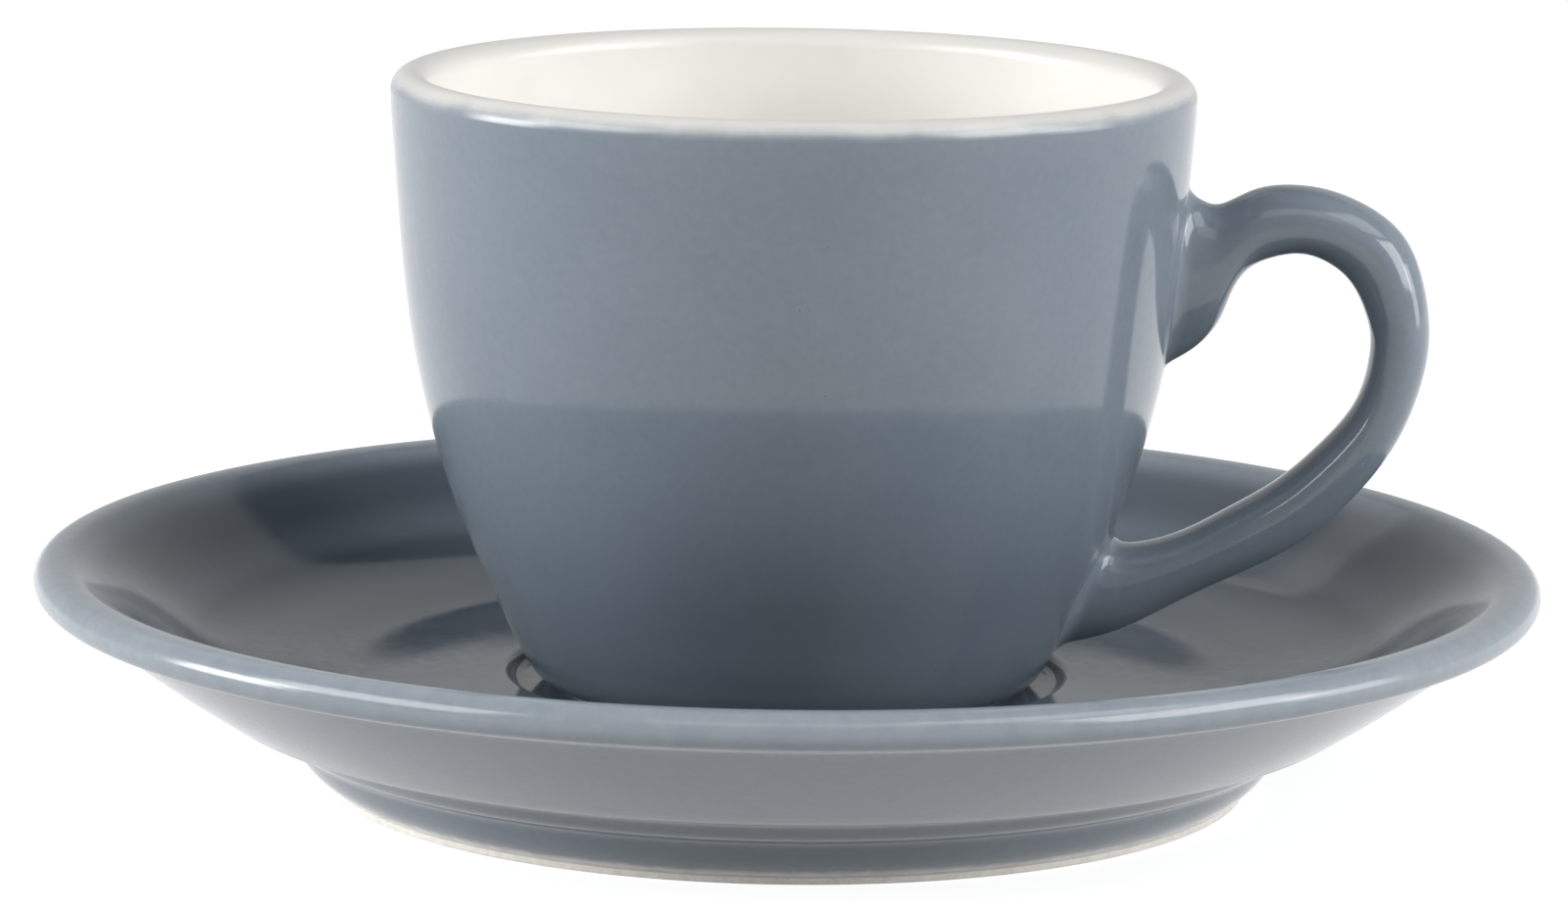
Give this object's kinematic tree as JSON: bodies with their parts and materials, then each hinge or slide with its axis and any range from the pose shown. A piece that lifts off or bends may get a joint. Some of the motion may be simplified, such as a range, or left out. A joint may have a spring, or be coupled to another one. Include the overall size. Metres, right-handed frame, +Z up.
{
  "type": "coffee cup with saucer",
  "caption": "Round glazed coffee cup with a loop handle, standing in the well of a matching saucer with a rolled lip and a bare foot ring.",
  "frame": {"origin": "centre of the saucer's foot, on the surface it stands on", "axes": "+Z up along the common axis of cup and saucer, +X from the axis towards the cup's handle, +Y to the left of the handle seen from above"},
  "size_m": [0.15, 0.15, 0.0711],
  "materials": {
    "bare_clay": "matt, fired and unglazed, cream, very fine grain",
    "blue_grey_glaze": "glossy blue-grey glaze with fine darker specks, breaking lighter on edges",
    "white_glaze": "glossy warm white glaze"
  },
  "bodies": {
    "saucer": {"saucer_body": "bare_clay", "saucer_glaze": "blue_grey_glaze"},
    "cup": {"cup_body": "bare_clay", "cup_handle": "bare_clay", "cup_lining_glaze": "white_glaze", "cup_outer_glaze": "blue_grey_glaze", "handle_glaze": "blue_grey_glaze"}
  },
  "joints": [
    {"name": "cup_lift", "type": "slide", "parent": "saucer", "child": "cup", "axis": [0, 0, 1], "range_m": [0, 0.1]}
  ]
}
